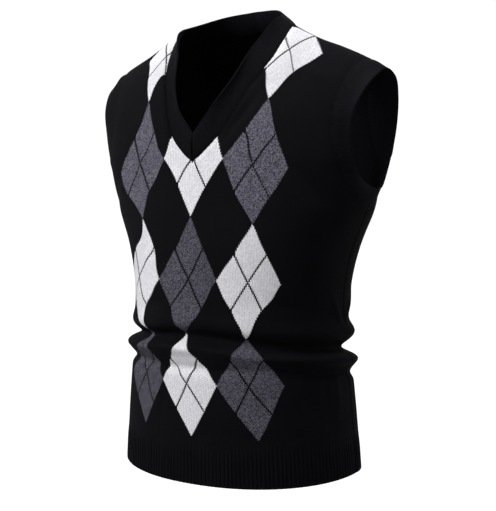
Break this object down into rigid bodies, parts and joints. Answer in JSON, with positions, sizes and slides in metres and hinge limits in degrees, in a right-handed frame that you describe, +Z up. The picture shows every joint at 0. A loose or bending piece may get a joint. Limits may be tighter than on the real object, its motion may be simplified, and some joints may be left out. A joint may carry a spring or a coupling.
{
  "type": "sweater vest",
  "caption": "Hollow V-neck knitted sweater vest as worn, with an argyle front, a plain back, a ribbed hem, banded armholes and soft folds round the waist.",
  "frame": {"origin": "midway between the shoulder seams beside the neck, where the wearer's shoulders hold the vest up", "axes": "+Z up, the front of the vest faces -Y, the wearer's left side is +X"},
  "size_m": [0.4185, 0.2398, 0.6133],
  "materials": {
    "argyle_knit": "matte knit, black with white and grey diamonds",
    "plain_knit": "matte knit, black",
    "rib_knit": "matte rib knit, black"
  },
  "bodies": {
    "root": {"front_panel": "argyle_knit", "back_panel": "plain_knit", "hem_rib_front": "rib_knit", "hem_rib_back": "rib_knit", "neckband": "rib_knit", "armband_left": "rib_knit", "armband_right": "rib_knit"}
  },
  "joints": []
}
